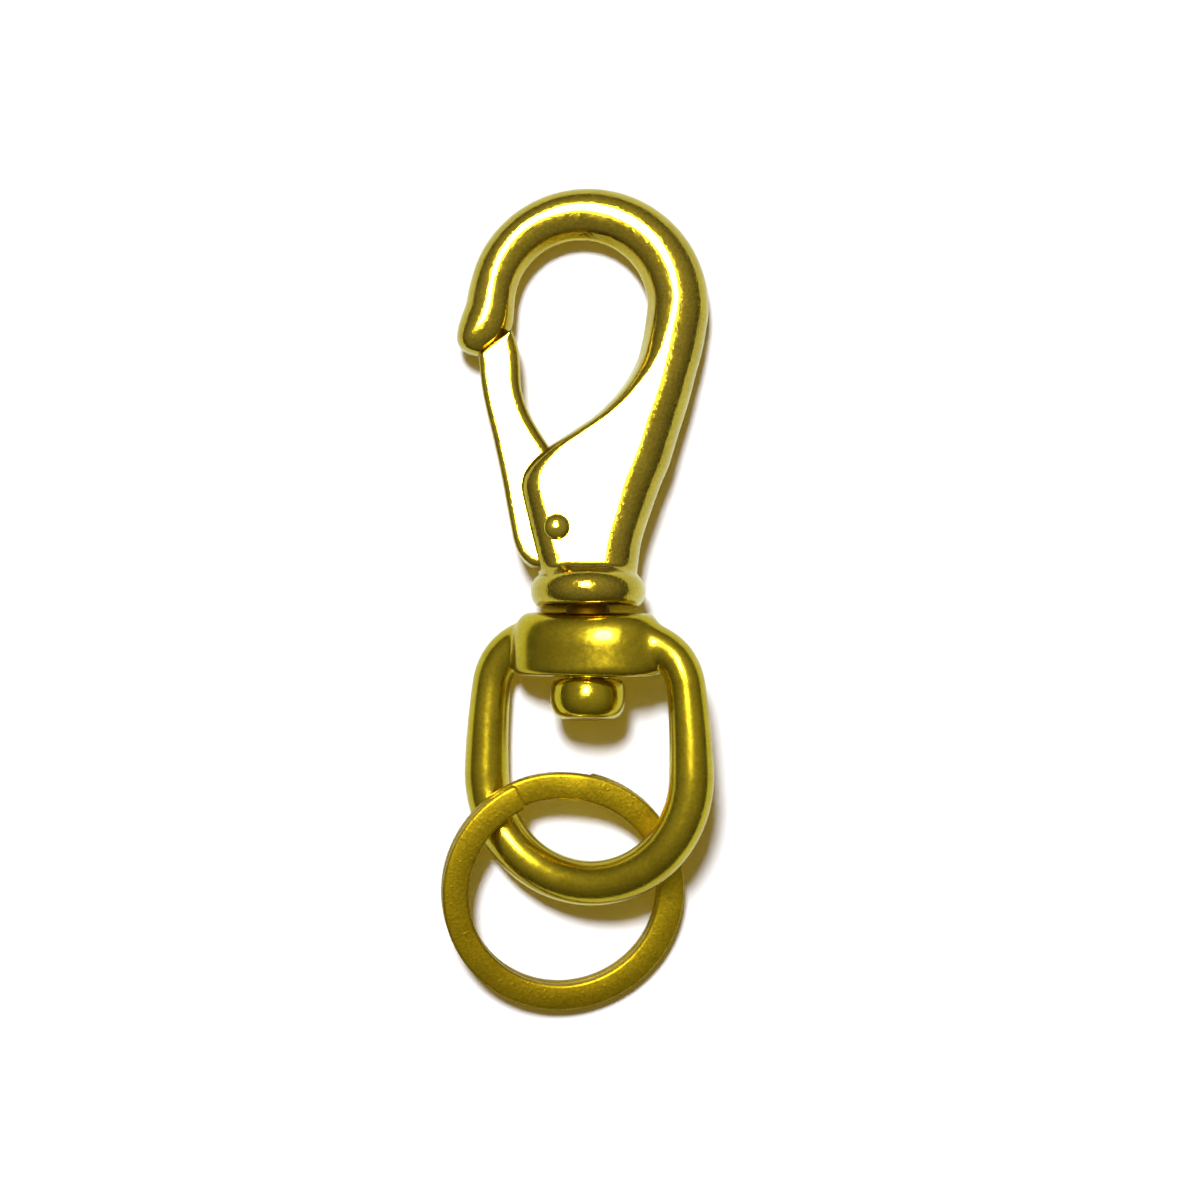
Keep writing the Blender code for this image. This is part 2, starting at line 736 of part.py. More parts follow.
def make_split_ring(parent, material):
    """Two turns of flat wire: the upper one, the step down, and the one under it."""
    step_down = RING_RAMP_DEG + 360
    landed = RING_END_DEG + 360
    last = RING_RAMP_DEG + 720
    angles = []
    for low, high in ((RING_END_DEG, step_down), (step_down, landed), (landed, last)):
        count = math.ceil((high - low) / RING_STEP_DEG)
        angles += [low + (high - low) * i / count for i in range(count)]
    angles.append(last)
    rings = []
    for angle in angles:
        fallen = min(max((angle - step_down - 1) / (landed - step_down - 2), 0), 1)
        eased = fallen * fallen * (3 - 2 * fallen)
        rings.append(ring_section(math.radians(angle), RING_PITCH * (0.5 - eased)))
    bm = bmesh.new()
    skin(bm, rings)
    return solid("split_ring", bm, parent, material)


def solved(error, low, high):
    """The angle between low and high where a rising error passes zero."""
    for _ in range(HALVINGS):
        middle = (low + high) / 2
        if error(middle) < 0:
            low = middle
        else:
            high = middle
    return (low + high) / 2


def hook_lean():
    """The lean at which the bow comes down on the table, and the swivel axis's height."""
    crests = [
        (iy + (oy - iy) * (inner + 1 - outer) / 2, half)
        for _, iy, _, oy, inner, outer, half in hook_sections()
    ]

    def axis_height(lean):
        return COLLAR_RADIUS * math.cos(lean) - COLLAR_WIDEST_DROP * math.sin(lean)

    def sunk(lean):
        deepest = max(y * math.sin(lean) + half * math.cos(lean) for y, half in crests)
        return deepest - axis_height(lean)

    lean = solved(sunk, 0, math.pi / 4)
    return lean, axis_height(lean)


def eye_place(middle, roll):
    droop = Matrix.Rotation(math.radians(EYE_DROOP_DEG), 4, "X")
    return Matrix.Translation(middle) @ droop @ Matrix.Rotation(-roll, 4, "Y")


def eye_wire(place):
    """Points along the eye's centre line, in the frame that holds the eye."""
    half = eye_route(REST_STEPS)
    points = [Vector((x, y, 0)) for x, y, _ in half]
    points += [Vector((-x, y, 0)) for x, y, _ in half[1:]]
    return [place @ point for point in points]


def eye_roll(middle):
    """The roll at which the left leg of the eye comes down on the table."""

    def sunk(roll):
        lowest = min(point.z for point in eye_wire(eye_place(middle, roll)))
        return EYE_WIRE_RADIUS + TOUCH_GAP - lowest

    return solved(sunk, 0, math.pi / 4)


def ring_place(centre, lean):
    """The ring's frame, leant up towards the left leg, with its lowest edge on the table."""
    facing = Matrix.Rotation(math.radians(RING_LEAN_FACING_DEG), 4, "Z")
    turn = facing @ Matrix.Rotation(-lean, 4, "Y") @ facing.inverted()
    height = RING_RADIUS * math.sin(lean) + RING_HALF_THICKNESS * math.cos(lean)
    return Matrix.Translation((centre.x, centre.y, height + TOUCH_GAP)) @ turn


def ring_lean(centre, wire):
    """The lean at which the ring's band clears the leg that it rests on."""

    def too_flat(lean):
        to_ring = ring_place(centre, lean).inverted()
        room = []
        for point in wire:
            seen = to_ring @ point
            aside = abs(math.hypot(seen.x, seen.y) - RING_MID_RADIUS) - RING_BAND / 2
            above = abs(seen.z) - RING_HALF_THICKNESS
            if point.x < centre.x:
                room.append(math.hypot(max(aside, 0), max(above, 0)))
        return min(room) - EYE_WIRE_RADIUS - TOUCH_GAP

    return solved(too_flat, 0, math.pi / 4)


def rest_on_table(base):
    """Moves the whole to stand on Z = 0 with the middle of its outline at the origin."""
    bpy.context.view_layer.update()
    graph = bpy.context.evaluated_depsgraph_get()
    low = [math.inf] * 3
    high = [-math.inf] * 3
    for part in bpy.context.scene.objects:
        if part.type == "EMPTY" or part.hide_render:
            continue
        seen = part.evaluated_get(graph)
        mesh = seen.to_mesh()
        for vertex in mesh.vertices:
            place = seen.matrix_world @ vertex.co
            low = [min(a, b) for a, b in zip(low, place)]
            high = [max(a, b) for a, b in zip(high, place)]
        seen.to_mesh_clear()
    middle = ((low[0] + high[0]) / 2, (low[1] + high[1]) / 2, low[2])
    base.location = base.location - Vector(middle)


def build():
    clear_scene()
    cast = brass("cast brass", (0.60, 0.47, 0.05), 0.28)
    bright = brass("bright brass", (0.66, 0.52, 0.06), 0.22)
    satin = brass("satin brass", (0.50, 0.38, 0.03), 0.42)
    sprung = brass("spring brass", (0.55, 0.42, 0.08), 0.30)

    base = frame_at("key_hook", None, Matrix.Identity(4))
    lean, height = hook_lean()
    cock = lean + math.radians(EYE_DROOP_DEG)
    to_hook = Matrix.Translation((0, 0, height)) @ Matrix.Rotation(-lean, 4, "X")
    hook = frame_at("hook_frame", base, to_hook)
    make_hook_body(hook, cast)
    make_stud(hook, bright, cock)
    gate = frame_at("gate_pivot", hook, Matrix.Translation(rivet_centre()))
    make_gate(gate, bright)
    make_rivet(gate, bright)
    make_spring(gate, sprung)

    middle = to_hook @ Vector((0, -boss_middle_drop(cock), 0))
    to_eye = eye_place(middle, eye_roll(middle))
    eye = frame_at("eye_pivot", base, to_eye)
    make_eye(eye, cast)

    wire = eye_wire(to_eye)
    centre = wire[0] - Vector((RING_LEFT_OF_EYE, RING_BELOW_EYE, 0))
    to_ring = ring_place(centre, ring_lean(centre, wire))
    ring = frame_at("ring_pivot", eye, to_eye.inverted() @ to_ring)
    make_split_ring(ring, satin)
    rest_on_table(base)


build()
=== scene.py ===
"""Looks of the brass swivel snap hook with its flat split ring, seen from straight above."""

import math

import bmesh
import bpy
import numpy as np
from mathutils import Matrix, Vector
from mathutils.kdtree import KDTree


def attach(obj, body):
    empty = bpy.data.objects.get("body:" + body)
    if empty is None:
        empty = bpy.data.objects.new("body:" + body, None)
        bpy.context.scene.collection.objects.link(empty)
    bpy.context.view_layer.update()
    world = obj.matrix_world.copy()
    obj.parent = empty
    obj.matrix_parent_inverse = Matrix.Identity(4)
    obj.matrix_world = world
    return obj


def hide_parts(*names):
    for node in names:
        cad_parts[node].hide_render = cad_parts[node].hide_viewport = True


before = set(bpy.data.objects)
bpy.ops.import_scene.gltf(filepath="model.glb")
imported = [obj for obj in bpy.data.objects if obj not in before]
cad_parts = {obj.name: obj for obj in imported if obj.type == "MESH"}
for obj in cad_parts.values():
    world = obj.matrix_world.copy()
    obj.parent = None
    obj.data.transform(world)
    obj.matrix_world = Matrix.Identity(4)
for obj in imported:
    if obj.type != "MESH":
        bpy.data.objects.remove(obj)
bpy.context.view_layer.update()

MM = 0.001

# Where the pieces lie, in metres, as the frame has them
HOOK_ORIGIN = Vector((0.001612, 0.00131, 0.008107))
HOOK_LEAN_DEG = 5.23453
EYE_ORIGIN = Vector((0.001612, -0.00639, 0.008813))
EYE_DROOP_DEG = 1.0
EYE_ROLL_DEG = 19.823
RING_ORIGIN = Vector((-0.001988, -0.041655, 0.005416))
RING_LEAN_DEG = 12.887
RING_LEAN_FACING_DEG = 127.0

# Hook
BOW_OUTER_RADIUS = 17.3 * MM
BOW_INNER_RADIUS = 9.5 * MM
BOW_INNER_SHIFT = 1.0 * MM
BOW_INNER_LIFT = 0.3 * MM
BOW_RISE = 40.6 * MM
BODY_THICKNESS = 9.5 * MM
BODY_HALF = BODY_THICKNESS / 2
NOSE_SEAT_LENGTH = 9.0 * MM
NOSE_SEAT_DEPTH = 3.0 * MM
NOSE_SEAT_LEFT = 13.2 * MM
NOSE_SEAT_RISE = 35.5 * MM
NOSE_SEAT_DEG = 39.0
SEAT_CHAMFER_START = 2.0 * MM
SEAT_CHAMFER_DEG = 40.0
COLLAR_RADIUS = 8.15 * MM
COLLAR_NECK_RADIUS = 5.5 * MM
COLLAR_FOOT_RADIUS = 6.7 * MM
COLLAR_TOP = 2.7 * MM
COLLAR_WIDEST_DROP = 0.15 * MM
COLLAR_BOTTOM_DROP = 2.5 * MM
SLOT_BACK = 0.8 * MM
SLOT_FLOOR = 2.7 * MM
SLOT_TOP = 31.0 * MM
SLOT_CORNER_RADIUS = 2.4 * MM
SLOT_HALF = 2.65 * MM

# Gate, rivet and spring
GATE_HALF = 2.5 * MM
GATE_LENGTH = 29.5 * MM
GATE_EDGE_BEVEL = 1.0 * MM
GATE_EDGE_DROP = 0.65 * MM
GATE_TIP_BEVEL = 0.3 * MM
GATE_INNER_EDGE = 1.45 * MM
GATE_INNER_START = 0.2
GATE_INNER_BLEND = 0.15
GATE_INNER_LEFT = -0.21
GATE_BEVEL_STEPS = 8
GATE_TIP_CLEARANCE = 0.12 * MM
RIVET_CENTRE = Vector((-4.4 * MM, 8.5 * MM, 0))
RIVET_SHANK_RADIUS = 1.3 * MM
RIVET_HEAD_RADIUS = 1.85 * MM
RIVET_HEAD_HEIGHT = 0.95 * MM
RIVET_DOME_START_DEG = 88.0
RIVET_RIM_IN = 0.05 * MM
RIVET_RIM_FALL = 0.04 * MM
POCKET_HALF = 1.45 * MM
POCKET_RADIUS = 2.27 * MM
POCKET_REACH = 9.4 * MM
POCKET_LEAN_DEG = 10.0

# Stud, eye and ring
STUD_RADIUS = 3.1 * MM
STUD_HEAD_RADIUS = 5.4 * MM
STUD_HEAD_HEIGHT = 5.6 * MM
STUD_HEAD_WIDEST_DROP = 2.4 * MM
STUD_HEAD_TOP_ROUND = 0.8 * MM
STUD_HEAD_FOOT_ROUND = 2.1 * MM
COCK_DEG = HOOK_LEAN_DEG + EYE_DROOP_DEG
EYE_WIRE_RADIUS = 3.18 * MM
EYE_SHOULDER_WIRE_RADIUS = 2.75 * MM
EYE_BOTTOM_RADIUS = 15.48 * MM
EYE_SIDE_RADIUS = 103.0 * MM
EYE_SIDE_TURN_DEG = 7.0
EYE_SHOULDER_RADIUS = 7.9 * MM
# Each arc of the eye's wire, from the foot round: radius, turn in degrees, steps
EYE_ARCS = (
    (EYE_BOTTOM_RADIUS, 90, 48),
    (EYE_SIDE_RADIUS, EYE_SIDE_TURN_DEG, 16),
    (EYE_SHOULDER_RADIUS, 90 - EYE_SIDE_TURN_DEG, 32),
)
BOSS_HEIGHT = 8.9 * MM
BOSS_HALF_WIDTH = 11.0 * MM
BOSS_HALF_DEPTH = 6.9 * MM
BOSS_TOP_ROUND = 2.4 * MM
BOSS_TOP_ROUND_RISE = 4.4 * MM
BOSS_FOOT_ROUND = 1.2 * MM
BOSS_OVAL_POWER = 0.85
BOSS_RAISED_POWER = 1.05
BAR_ABOVE_MIDDLE = 1.0 * MM
BORE_RADIUS = 3.7 * MM
RING_RADIUS = 17.35 * MM
RING_BAND = 3.7 * MM
RING_WIRE_THICKNESS = 1.5 * MM
RING_END_ROUND = 0.6 * MM
RING_END_TRIM = 0.22
RING_PITCH = 1.56 * MM
RING_END_DEG = 114.0
RING_RAMP_DEG = 77.0
RING_RAMP_MARGIN_DEG = 1.0
# The ring's bevelled corner: how far in from the side, how far down from the face
RING_CORNER = (
    (0.0, 0.235 * MM),
    (0.0375 * MM, 0.16 * MM),
    (0.3 * MM, 0.025 * MM),
    (0.39 * MM, 0.0),
)
TOUCH_GAP = 0.05 * MM

# Each section: inner x and y, outer x and y, inner rounding, outer rounding, depth. The body's
# y is in shares of the bow's rise, and the nose's is in shares of its radius from its centre
BODY_SECTION_SHARES = (
    (-0.405, 0.015, 0.405, 0.015, 0.22, 0.31, 1.28),
    (-0.405, 0.050, 0.405, 0.050, 0.22, 0.31, 1.20),
    (-0.414, 0.067, 0.406, 0.067, 0.235, 0.31, 1.07),
    (-0.430, 0.082, 0.410, 0.081, 0.25, 0.31, 1.0),
    (-0.450, 0.103, 0.417, 0.104, 0.245, 0.31, 1.0),
    (-0.491, 0.170, 0.445, 0.175, 0.23, 0.29, 1.0),
    (-0.549, 0.271, 0.526, 0.281, 0.205, 0.26, 1.0),
    (-0.585, 0.360, 0.601, 0.369, 0.17, 0.25, 1.0),
    (-0.533, 0.426, 0.670, 0.439, 0.165, 0.25, 1.0),
    (-0.385, 0.488, 0.734, 0.529, 0.17, 0.26, 1.0),
    (-0.173, 0.547, 0.780, 0.592, 0.19, 0.31, 1.0),
    (0.052, 0.613, 0.832, 0.663, 0.22, 0.37, 1.0),
    (0.245, 0.697, 0.884, 0.747, 0.28, 0.44, 0.99),
    (0.387, 0.793, 0.936, 0.828, 0.34, 0.52, 0.96),
    (0.450, 0.884, 0.971, 0.902, 0.41, 0.54, 0.92),
)
NOSE_SECTION_SHARES = (
    (-0.612, -0.023, -1.012, 0.035, 0.50, 0.48, 0.70),
    (-0.626, -0.139, -1.052, -0.081, 0.53, 0.45, 0.70),
    (-0.670, -0.249, -1.081, -0.191, 0.57, 0.41, 0.67),
    (-0.746, -0.329, -1.084, -0.278, 0.60, 0.38, 0.60),
    (-0.844, -0.405, -1.052, -0.341, 0.60, 0.38, 0.45),
    (-0.931, -0.405, -1.000, -0.382, 0.56, 0.42, 0.20),
)
# The bow's crest and depth at its start, top and end
BOW_CREST_SHARES = (0.48, 0.59, 0.51)
BOW_CREST_GAP = 0.02
BOW_DEPTH_SHARES = (0.874, 0.62, 0.68)
BOW_END_DEG = 170.0
BOW_SECTIONS = 12
# The flat flank inside the bow: the rounding's angles it spans, where it sets in on the
# body's outer edge and over what rise, and how flat it is on the bow and on the nose
FLANK_DEG = (8.0, 42.0)
FLANK_START = 0.6
FLANK_BLEND = 0.2
BOW_FLANK = 1.0
NOSE_FLANK = 0.6
# The gate's outline in shares of its length, from the outer end of its tip round the rivet
GATE_OUTLINE_SHARES = (
    (-0.379, 0.837),
    (-0.358, 0.658),
    (-0.306, 0.438),
    (-0.264, 0.244),
    (-0.233, 0.075),
    (-0.202, -0.072),
    (-0.164, -0.142),
    (-0.111, -0.180),
    (-0.040, -0.173),
    (0.039, -0.140),
    (0.093, -0.086),
    (0.126, -0.011),
    (0.108, 0.101),
    (0.061, 0.220),
    (0.000, 0.342),
    (-0.051, 0.424),
    (-0.092, 0.488),
    (-0.132, 0.560),
    (-0.159, 0.631),
    (-0.176, 0.705),
    (-0.180, 0.800),
    (-0.187, 0.874),
    (-0.200, 0.926),
)
GATE_TIP_SHARES = (-0.224, -0.365)

# Fillets of the castings: centre, reach along each axis, rounds of filling
COLLAR_FILLETS = (
    ((1.6 * MM, 4.4 * MM, 12.6 * MM), (8.0 * MM, 2.4 * MM, 3.0 * MM), 40),
    ((1.6 * MM, 4.4 * MM, 3.2 * MM), (8.0 * MM, 2.4 * MM, 3.0 * MM), 40),
)
ARM_FILLETS = (
    ((10.6 * MM, 0.3 * MM, 1.0 * MM), (4.6 * MM, 6.0 * MM, 8.0 * MM), 150),
    ((-10.6 * MM, 0.3 * MM, 1.0 * MM), (4.0 * MM, 5.5 * MM, 8.0 * MM), 35),
)
# How steeply a fillet fades towards its reach, and how far each round fills it
FILLET_EDGE = 1.6
FILLET_FILL = 0.6

# Pits of the castings: how many, seed of the draw, smallest and largest radius, depth in radii
HOOK_PITS = (60, 3, (0.2 * MM, 0.45 * MM), 0.07)
GATE_PITS = (14, 5, (0.2 * MM, 0.4 * MM), 0.07)
EYE_PITS = (40, 11, (0.2 * MM, 0.45 * MM), 0.06)

# Fineness
VOXEL = 0.16 * MM
GATE_VOXEL = 0.12 * MM
HOOK_SOFT_ROUNDS = 12
GATE_SOFT_ROUNDS = 4
EYE_SOFT_ROUNDS = 26
STATION_STEPS = 6
QUARTER_STEPS = 10
ROUND_STEPS = 128
WIRE_STEPS = 64
RING_STEP_DEG = 1.5
RING_END_STEPS_DEG = (0.1, 0.25, 0.45, 0.7, 1.0, 1.3, 1.7, 2.0)
RIVET_STEPS = 64
RIVET_DOME_STEPS = 16
SHARP_EDGE_DEG = 50.0
STUD_SHARP_EDGE_DEG = 40.0

# Surface of the brass
CLOUD_SCALE = 220.0
CLOUD_SPAN = (0.35, 0.68)
GRAIN_SPAN = (0.3, 0.7)
WEAR_SCALE_SHARE = 0.45
SPECK_SCALE_SHARE = 0.7
SPECK_SPAN = (0.6, 0.78)
WIDE_GRAIN_SIZE = 3.0
COAT_ROUGHNESS = 0.06

# Table, as the eye and as the metal see it
TABLE_HALF = 0.7
TABLE_GAP = 0.06 * MM
TABLE_COLOUR = (0.88, 0.90, 0.99, 1)
TABLE_MIRRORED_COLOUR = (0.62, 0.75, 0.74, 1)
TABLE_ROUGHNESS = 0.6
TABLE_SHINE = 0.2
TABLE_GLOW_COLOUR = (1.0, 0.62, 0.0, 1)
TABLE_GLOW = 0.13

# Light. The room grows brighter with height, and again along Y
SOFTBOX_LEVEL = 40.0
SOFTBOX_SIZE = (0.50, 0.66)
SOFTBOX_PLACE = (-0.135, 0.58, 1.6)
KEY_LEVEL = 3.6
KEY_WIDTH_DEG = 10.0
KEY_DIRECTION = (0.11, -0.40, -1)
ROOM_COLOUR = (1.0, 0.99, 0.97, 1)
ROOM_HEIGHT_SPAN = (0.0, 1.0)
ROOM_HEIGHT_LEVELS = (0.10, 0.35)
ROOM_FALL_SPAN = (-0.90, 0.80)
ROOM_FALL_LEVELS = (0.65, 1.30)
ROOM_DIFFUSE_SHARE = 0.05

CAMERA_LENS = 100
CAMERA_SENSOR_WIDTH = 36
CAMERA_PLACE = (0.003326, -0.000119, 0.482)


def clamped(value):
    return min(max(value, 0), 1)


def arc_points(centre, radii, start_deg, end_deg, steps):
    points = []
    for i in range(steps + 1):
        angle = math.radians(start_deg + (end_deg - start_deg) * i / steps)
        points.append(
            (centre[0] + radii[0] * math.cos(angle), centre[1] + radii[1] * math.sin(angle))
        )
    return points


def smoothed(rows, steps):
    """The rows of values with even steps between them, along a smooth curve through all."""
    found = []
    for i in range(len(rows) - 1):
        before = rows[max(i - 1, 0)]
        after = rows[min(i + 2, len(rows) - 1)]
        for k in range(steps):
            t = k / steps
            found.append(
                tuple(
                    b
                    + t * (c - a) / 2
                    + t**2 * (2 * a - 5 * b + 4 * c - d) / 2
                    + t**3 * (3 * (b - c) + d - a) / 2
                    for a, b, c, d in zip(before, rows[i], rows[i + 1], after)
                )
            )
    found.append(rows[-1])
    return found


def skin(bm, rings):
    """A closed form through the rings of points, with a flat face at each end."""
    rows = [[bm.verts.new(point) for point in ring] for ring in rings]
    for first, second in zip(rows, rows[1:]):
        for i in range(len(first)):
            j = (i + 1) % len(first)
            bm.faces.new((first[i], first[j], second[j], second[i]))
    bm.faces.new(list(reversed(rows[0])))
    bm.faces.new(rows[-1])


def turned(profile, steps):
    """A round form about the Y axis, from a profile of radius and height."""
    bm = bmesh.new()
    rings = []
    for radius, y in profile:
        rings.append(
            [
                (
                    radius * math.sin(math.tau * i / steps),
                    y,
                    radius * math.cos(math.tau * i / steps),
                )
                for i in range(steps)
            ]
        )
    skin(bm, rings)
    return bm


def prism(outline, half_depth):
    bm = bmesh.new()
    skin(
        bm,
        [
            [(x, y, -half_depth) for x, y in outline],
            [(x, y, half_depth) for x, y in outline],
        ],
    )
    return bm


def as_object(name, bm):
    bmesh.ops.recalc_face_normals(bm, faces=bm.faces)
    mesh = bpy.data.meshes.new(name)
    bm.to_mesh(mesh)
    bm.free()
    made = bpy.data.objects.new(name, mesh)
    bpy.context.scene.collection.objects.link(made)
    return made


def combine(target, other, operation, matrix=None):
    if matrix is not None:
        other.matrix_world = matrix
    step = target.modifiers.new(other.name, "BOOLEAN")
    step.operation = operation
    step.solver = "EXACT"
    step.object = other
    return other


def cast(target, voxel, rounds):
    """Every edge and join gets the small rounding that a casting has."""
    step = target.modifiers.new("skin", "REMESH")
    step.mode = "VOXEL"
    step.voxel_size = voxel
    step.use_smooth_shade = True
    soft = target.modifiers.new("soft", "SMOOTH")
    soft.factor = 0.5
    soft.iterations = rounds


def settled(target, helpers, matrix):
    """The modified mesh becomes the piece's own, moved to its place, and its helpers go."""
    bpy.context.view_layer.update()
    graph = bpy.context.evaluated_depsgraph_get()
    mesh = bpy.data.meshes.new_from_object(target.evaluated_get(graph))
    target.modifiers.clear()
    target.data = mesh
    mesh.transform(matrix)
    for other in helpers:
        bpy.data.objects.remove(other, do_unlink=True)


def smooth_faced(mesh, sharp_deg):
    mesh.shade_smooth()
    mesh.set_sharp_from_angle(angle=math.radians(sharp_deg))


def vertex_rows(mesh, kind):
    values = np.empty(len(mesh.vertices) * 3)
    mesh.vertices.foreach_get(kind, values)
    return values.reshape(-1, 3)


def blended(mesh, spots):
    """Hollows near each spot filled in, as the fillets of a casting are."""
    amount = len(mesh.vertices)
    points = vertex_rows(mesh, "co")
    ends = np.empty(len(mesh.edges) * 2, dtype=np.int64)
    mesh.edges.foreach_get("vertices", ends)
    ends = ends.reshape(-1, 2)
    near = np.bincount(ends.ravel(), minlength=amount)[:, None]
    for centre, radii, rounds in spots:
        away = np.sqrt((((points - centre) / radii) ** 2).sum(axis=1))[:, None]
        share = np.clip(FILLET_EDGE * (1 - away), 0, 1)
        for _ in range(rounds):
            total = np.stack(
                [
                    np.bincount(ends[:, 0], points[ends[:, 1], k], amount)
                    + np.bincount(ends[:, 1], points[ends[:, 0], k], amount)
                    for k in range(3)
                ],
                axis=1,
            )
            points += share * FILLET_FILL * (total / near - points)
    mesh.vertices.foreach_set("co", points.ravel())
    mesh.update()


def dress(piece, material, body, node):
    piece.data.materials.clear()
    piece.data.materials.append(material)
    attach(piece, body)
    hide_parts(node)


def pit(mesh, count, seed, radius_range, depth_share):
    """Small shallow pits of a sand casting, pressed into the surface."""
    amount = len(mesh.vertices)
    points = vertex_rows(mesh, "co")
    normals = vertex_rows(mesh, "normal")
    tree = KDTree(amount)
    for i, point in enumerate(points):
        tree.insert(point, i)
    tree.balance()
    draw = np.random.default_rng(seed)
    moved = points.copy()
    for _ in range(count):
        at = int(draw.integers(amount))
        radius = draw.uniform(*radius_range)
        for _, i, distance in tree.find_range(points[at], radius):
            share = 1 - (distance / radius) ** 2
            moved[i] -= normals[i] * radius * depth_share * share * share
    mesh.vertices.foreach_set("co", moved.ravel())
    mesh.update()


# Materials
def nodes_of(material):
    material.use_nodes = True
    tree = material.node_tree
    return tree, tree.nodes["Principled BSDF"]


def ranged(tree, value, span, levels=(0.0, 1.0), easing="LINEAR"):
    """A value carried from its span to the given levels."""
    made = tree.nodes.new("ShaderNodeMapRange")
    made.interpolation_type = easing
    for name, number in zip(("From Min", "From Max", "To Min", "To Max"), (*span, *levels)):
        made.inputs[name].default_value = number
    tree.links.new(value, made.inputs["Value"])
    return made.outputs["Result"]


def reckoned(tree, operation, *values):
    """The operation worked on values that are plain numbers or outputs of other nodes."""
    made = tree.nodes.new("ShaderNodeMath")
    made.operation = operation
    for entry, value in zip(made.inputs, values):
        if isinstance(value, float):
            entry.default_value = value
        else:
            tree.links.new(value, entry)
    return made.outputs[0]


def brass(name, bright, dull, roughness, grain, speckle, relief_height, coarse, speck, coat):
    """Brass with cloudy colour, uneven polish and a fine cast or rolled grain."""
    material = bpy.data.materials.new(name)
    tree, shader = nodes_of(material)
    place = tree.nodes.new("ShaderNodeTexCoord")

    def noise(scale, detail, harshness=0.5):
        made = tree.nodes.new("ShaderNodeTexNoise")
        made.inputs["Scale"].default_value = scale
        made.inputs["Detail"].default_value = detail
        made.inputs["Roughness"].default_value = harshness
        tree.links.new(place.outputs["Object"], made.inputs["Vector"])
        return made.outputs["Fac"]

    ramp = tree.nodes.new("ShaderNodeValToRGB")
    for stop, position, colour in zip(ramp.color_ramp.elements, CLOUD_SPAN, (dull, bright)):
        stop.position = position
        stop.color = (*colour, 1)
    tree.links.new(noise(CLOUD_SCALE, 4.0), ramp.inputs["Fac"])
    fine = noise(grain, 2.0, 0.6)
    tinted = tree.nodes.new("ShaderNodeVectorMath")
    tinted.operation = "SCALE"
    tree.links.new(ramp.outputs["Color"], tinted.inputs[0])
    tree.links.new(ranged(tree, fine, GRAIN_SPAN, (1 - speckle, 1)), tinted.inputs["Scale"])
    tree.links.new(tinted.outputs["Vector"], shader.inputs["Base Color"])

    wear = noise(grain * WEAR_SCALE_SHARE, 3.0, 0.7)
    tree.links.new(ranged(tree, wear, GRAIN_SPAN, roughness), shader.inputs["Roughness"])

    wide = noise(grain / WIDE_GRAIN_SIZE, 2.0)
    specks = noise(grain * SPECK_SCALE_SHARE, 1.0)
    peaks = ranged(tree, specks, SPECK_SPAN, easing="SMOOTHSTEP")
    height = reckoned(tree, "MULTIPLY_ADD", wide, coarse, fine)
    height = reckoned(tree, "MULTIPLY_ADD", peaks, speck, height)
    relief = tree.nodes.new("ShaderNodeBump")
    relief.inputs["Strength"].default_value = 1.0
    relief.inputs["Distance"].default_value = relief_height
    tree.links.new(height, relief.inputs["Height"])
    tree.links.new(relief.outputs["Normal"], shader.inputs["Normal"])

    shader.inputs["Metallic"].default_value = 1.0
    shader.inputs["Coat Weight"].default_value = coat
    shader.inputs["Coat Roughness"].default_value = COAT_ROUGHNESS
    return material


def painted_shade(material, direction, low, high, colour, roughness):
    """Painted shade that comes in along a direction, a darker tint with a rougher polish, from
    nothing at high to full at low.
    """
    tree, shader = nodes_of(material)
    place = tree.nodes.new("ShaderNodeTexCoord")
    along = tree.nodes.new("ShaderNodeVectorMath")
    along.operation = "DOT_PRODUCT"
    along.inputs[1].default_value = direction
    tree.links.new(place.outputs["Object"], along.inputs[0])
    share = ranged(tree, along.outputs["Value"], (high, low), easing="SMOOTHSTEP")
    tint = tree.nodes.new("ShaderNodeMix")
    tint.data_type = "RGBA"
    tint.blend_type = "MULTIPLY"
    tree.links.new(share, tint.inputs["Factor"])
    tint.inputs["B"].default_value = (*colour, 1)
    base = shader.inputs["Base Color"]
    tree.links.new(base.links[0].from_socket, tint.inputs["A"])
    tree.links.new(tint.outputs["Result"], base)
    dulled = tree.nodes.new("ShaderNodeMix")
    tree.links.new(share, dulled.inputs["Factor"])
    dulled.inputs["B"].default_value = roughness
    polish = shader.inputs["Roughness"]
    tree.links.new(polish.links[0].from_socket, dulled.inputs["A"])
    tree.links.new(dulled.outputs["Result"], polish)


CAST = brass(
    "cast brass",
    bright=(0.70, 0.512, 0.022),
    dull=(0.60, 0.425, 0.017),
    roughness=(0.07, 0.25),
    grain=2300.0,
    speckle=0.24,
    relief_height=0.032 * MM,
    coarse=0.1,
    speck=0.3,
    coat=0.6,
)
SOFT_CAST = brass(
    "soft cast brass",
    bright=(0.68, 0.505, 0.022),
    dull=(0.57, 0.415, 0.016),
    roughness=(0.18, 0.26),
    grain=2200.0,
    speckle=0.18,
    relief_height=0.010 * MM,
    coarse=0.0,
    speck=0.0,
    coat=0.1,
)
BRIGHT = brass(
    "bright brass",
    bright=(0.72, 0.54, 0.025),
    dull=(0.62, 0.46, 0.020),
    roughness=(0.07, 0.20),
    grain=2500.0,
    speckle=0.14,
    relief_height=0.022 * MM,
    coarse=0.15,
    speck=0.3,
    coat=0.6,
)
SATIN = brass(
    "satin brass",
    bright=(0.60, 0.415, 0.012),
    dull=(0.53, 0.365, 0.010),
    roughness=(0.40, 0.50),
    grain=2300.0,
    speckle=0.30,
    relief_height=0.030 * MM,
    coarse=0.0,
    speck=0.6,
    coat=0.0,
)
